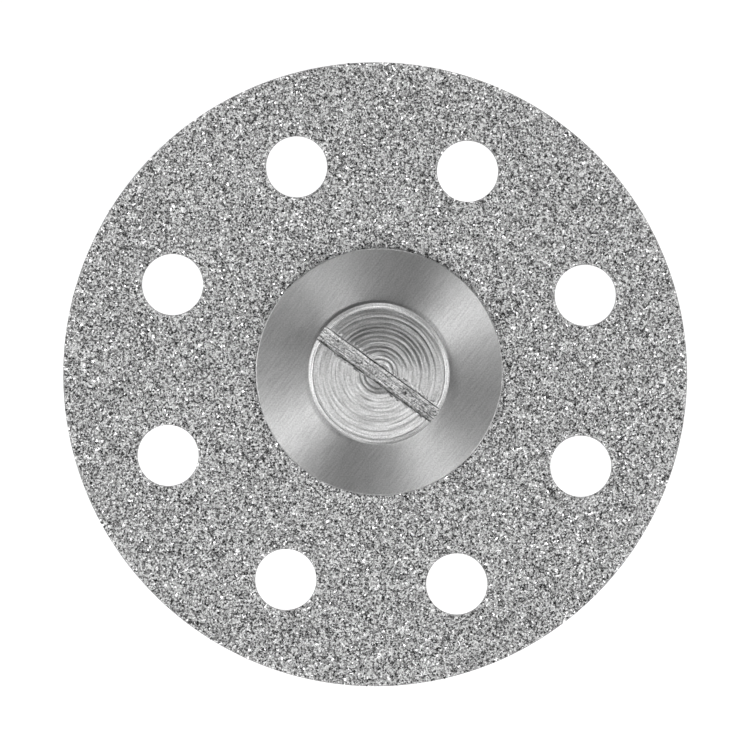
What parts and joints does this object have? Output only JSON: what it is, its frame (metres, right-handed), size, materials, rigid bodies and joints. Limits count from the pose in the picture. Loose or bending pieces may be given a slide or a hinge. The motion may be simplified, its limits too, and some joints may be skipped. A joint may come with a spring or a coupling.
{
  "type": "single-sided diamond disc on a screw mandrel",
  "caption": "Thin perforated steel cutting disc with diamond grit on its front face, clamped between washers on a screw mandrel for a straight handpiece.",
  "frame": {"origin": "centre of the shank's free end, on the spindle", "axes": "+Z along the spindle and out of the coated face; +X and +Y across the disc, right and up in the picture"},
  "size_m": [0.022, 0.022, 0.0445],
  "materials": {
    "mandrel_steel": "ground shank, turned cone and collar",
    "washer_steel": "finely turned faces with light rubbing marks",
    "blank_steel": "rolled spring steel, smooth and slightly dull",
    "diamond_grit": "diamond grains bonded in nickel, rough and glittering",
    "screw_steel": "coarsely turned head with open tool rings and a burred milled slot"
  },
  "bodies": {
    "root": {"mandrel": "mandrel_steel", "rear_washer": "washer_steel", "disc_blank": "blank_steel", "diamond_coat": "diamond_grit", "front_washer": "washer_steel", "clamp_screw": "screw_steel"}
  },
  "joints": []
}
